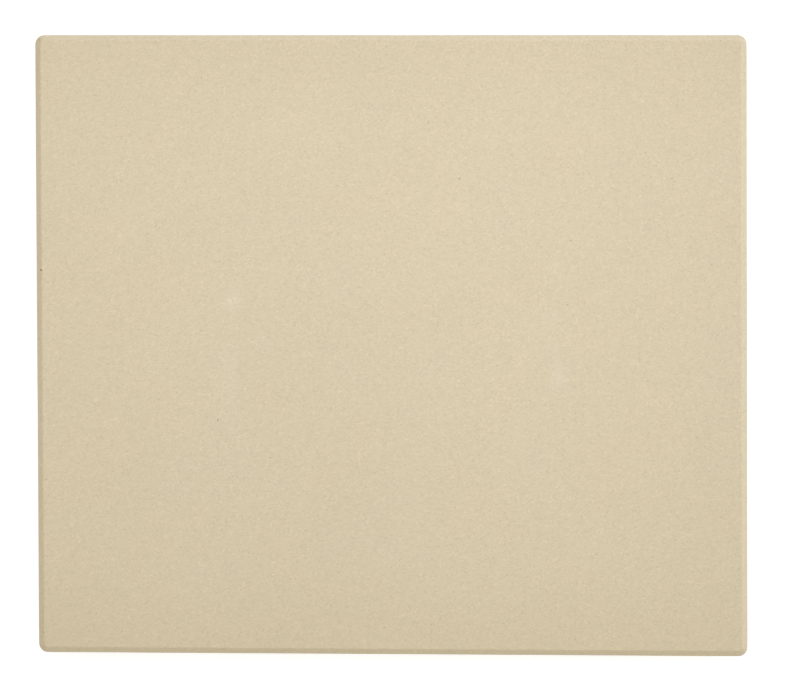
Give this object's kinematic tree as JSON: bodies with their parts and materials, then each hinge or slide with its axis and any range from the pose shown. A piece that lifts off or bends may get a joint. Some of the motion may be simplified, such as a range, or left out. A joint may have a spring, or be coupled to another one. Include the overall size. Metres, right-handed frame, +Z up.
{
  "type": "pizza stone",
  "caption": "Rectangular unglazed fireclay baking stone with a flat baking surface, a chamfered rim, rounded corners and low bar feet.",
  "frame": {"origin": "middle of the footprint, on the plane that the four feet stand on", "axes": "+X along the long side, +Y along the short side towards the back, +Z up through the baking surface"},
  "size_m": [0.406, 0.354, 0.022],
  "materials": {
    "fired_fireclay": "matte, unglazed, sandy grain with a few iron specks"
  },
  "bodies": {
    "root": {"baking_stone": "fired_fireclay"}
  },
  "joints": []
}
